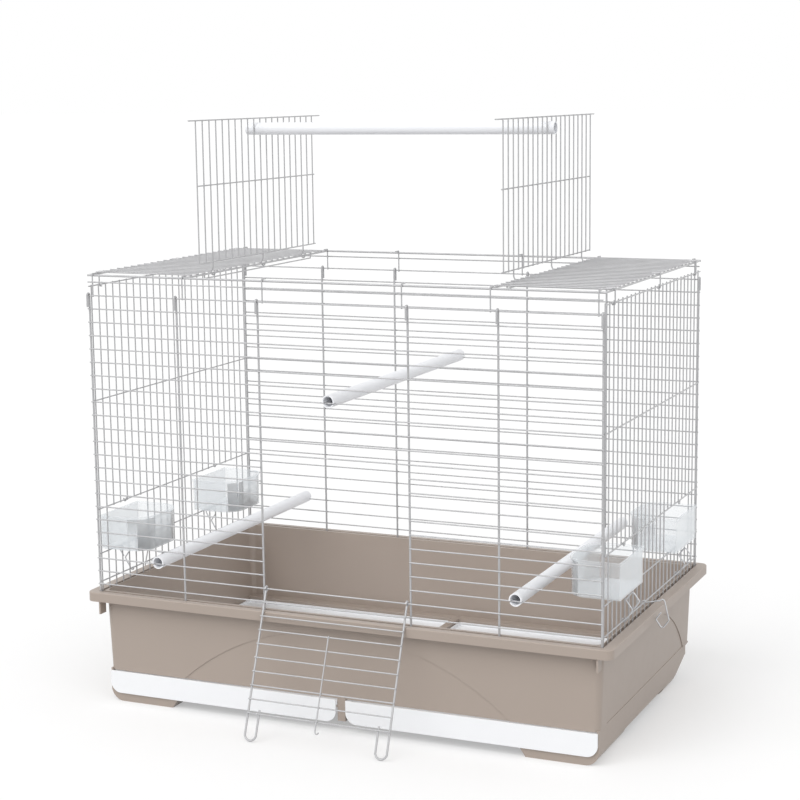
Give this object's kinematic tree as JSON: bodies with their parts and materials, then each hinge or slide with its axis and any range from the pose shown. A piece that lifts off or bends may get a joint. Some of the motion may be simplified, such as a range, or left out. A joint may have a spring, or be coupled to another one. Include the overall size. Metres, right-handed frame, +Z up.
{
  "type": "parrot cage",
  "caption": "Rectangular wire bird cage on a moulded base, with an open front door, upright roof lids carrying a top perch, drawers and clip-in cups.",
  "frame": {"origin": "on the floor under the middle of the base", "axes": "+Z up, +X to the right along the front, +Y from the front to the back"},
  "size_m": [0.843, 0.5519, 0.8472],
  "materials": {
    "base_plastic": "satin moulded",
    "drawer_plastic": "satin",
    "coated_wire": "glossy white coat",
    "clip_wire": "zinc-coloured",
    "perch_plastic": "satin",
    "clear_plastic": "clear"
  },
  "bodies": {
    "cage": {"tray": "base_plastic", "front_panel": "coated_wire", "back_panel": "coated_wire", "left_side_panel": "coated_wire", "right_side_panel": "coated_wire", "roof_panel": "coated_wire", "lower_left_perch": "perch_plastic", "lower_right_perch": "perch_plastic", "middle_perch": "perch_plastic"},
    "front_door": {"front_door": "coated_wire", "front_door_latch": "clip_wire"},
    "left_lid": {"left_roof_lid": "coated_wire", "left_lid_hooks": "clip_wire"},
    "right_lid": {"right_roof_lid": "coated_wire", "right_lid_hooks": "clip_wire"},
    "top_perch": {"upper_perch": "perch_plastic"},
    "left_drawer": {"left_drawer": "drawer_plastic"},
    "right_drawer": {"right_drawer": "drawer_plastic"},
    "front_left_cup": {"front_left_cup": "clear_plastic"},
    "rear_left_cup": {"rear_left_cup": "clear_plastic"},
    "front_right_cup": {"front_right_cup": "clear_plastic"},
    "rear_right_cup": {"rear_right_cup": "clear_plastic"},
    "front_left_cup_clip": {"front_left_cup_clip": "clip_wire"},
    "rear_left_cup_clip": {"rear_left_cup_clip": "clip_wire"},
    "front_right_cup_clip": {"front_right_cup_clip": "clip_wire"},
    "rear_right_cup_clip": {"rear_right_cup_clip": "clip_wire"},
    "left_tray_clip": {"left_tray_clip": "clip_wire"},
    "right_tray_clip": {"right_tray_clip": "clip_wire"}
  },
  "joints": [
    {"name": "front_door_hinge", "type": "hinge", "parent": "cage", "child": "front_door", "pos_m": [0, -0.23255, 0.1985], "axis": [-1, 0, 0], "range_deg": [0, 158]},
    {"name": "left_lid_hinge", "type": "hinge", "parent": "cage", "child": "left_lid", "pos_m": [-0.229, 0, 0.63], "axis": [0, -1, 0], "range_deg": [-40, 40]},
    {"name": "right_lid_hinge", "type": "hinge", "parent": "cage", "child": "right_lid", "pos_m": [0.229, 0, 0.63], "axis": [0, -1, 0], "range_deg": [-40, 40]},
    {"name": "top_perch_pivot", "type": "hinge", "parent": "left_lid", "child": "top_perch", "pos_m": [-0.229, 0, 0.8305], "axis": [0, -1, 0], "range_deg": [-40, 40]},
    {"name": "left_drawer_slide", "type": "slide", "parent": "cage", "child": "left_drawer", "axis": [0, -1, 0], "range_m": [0, 0.055]},
    {"name": "right_drawer_slide", "type": "slide", "parent": "cage", "child": "right_drawer", "axis": [0, -1, 0], "range_m": [0, 0.055]},
    {"name": "front_left_cup_slide", "type": "slide", "parent": "cage", "child": "front_left_cup", "axis": [-1, 0, 0], "range_m": [0, 0.07]},
    {"name": "rear_left_cup_slide", "type": "slide", "parent": "cage", "child": "rear_left_cup", "axis": [-1, 0, 0], "range_m": [0, 0.07]},
    {"name": "front_right_cup_slide", "type": "slide", "parent": "cage", "child": "front_right_cup", "axis": [1, 0, 0], "range_m": [0, 0.07]},
    {"name": "rear_right_cup_slide", "type": "slide", "parent": "cage", "child": "rear_right_cup", "axis": [1, 0, 0], "range_m": [0, 0.07]},
    {"name": "front_left_cup_clip_hinge", "type": "hinge", "parent": "cage", "child": "front_left_cup_clip", "pos_m": [-0.38455, -0.14025, 0.1802], "axis": [0, -1, 0], "range_deg": [0, 80]},
    {"name": "rear_left_cup_clip_hinge", "type": "hinge", "parent": "cage", "child": "rear_left_cup_clip", "pos_m": [-0.38455, 0.12155, 0.1802], "axis": [0, -1, 0], "range_deg": [0, 80]},
    {"name": "front_right_cup_clip_hinge", "type": "hinge", "parent": "cage", "child": "front_right_cup_clip", "pos_m": [0.38455, -0.14025, 0.1802], "axis": [0, 1, 0], "range_deg": [0, 80]},
    {"name": "rear_right_cup_clip_hinge", "type": "hinge", "parent": "cage", "child": "rear_right_cup_clip", "pos_m": [0.38455, 0.12155, 0.1802], "axis": [0, 1, 0], "range_deg": [0, 80]},
    {"name": "left_tray_clip_hinge", "type": "hinge", "parent": "cage", "child": "left_tray_clip", "pos_m": [-0.38455, -0.04675, 0.1802], "axis": [0, 1, 0], "range_deg": [0, 85]},
    {"name": "right_tray_clip_hinge", "type": "hinge", "parent": "cage", "child": "right_tray_clip", "pos_m": [0.38455, -0.04675, 0.1802], "axis": [0, -1, 0], "range_deg": [0, 85]}
  ],
  "couplings": [
    {"joint": "right_lid_hinge", "follows": "left_lid_hinge", "ratio": 1},
    {"joint": "top_perch_pivot", "follows": "left_lid_hinge", "ratio": -1}
  ]
}
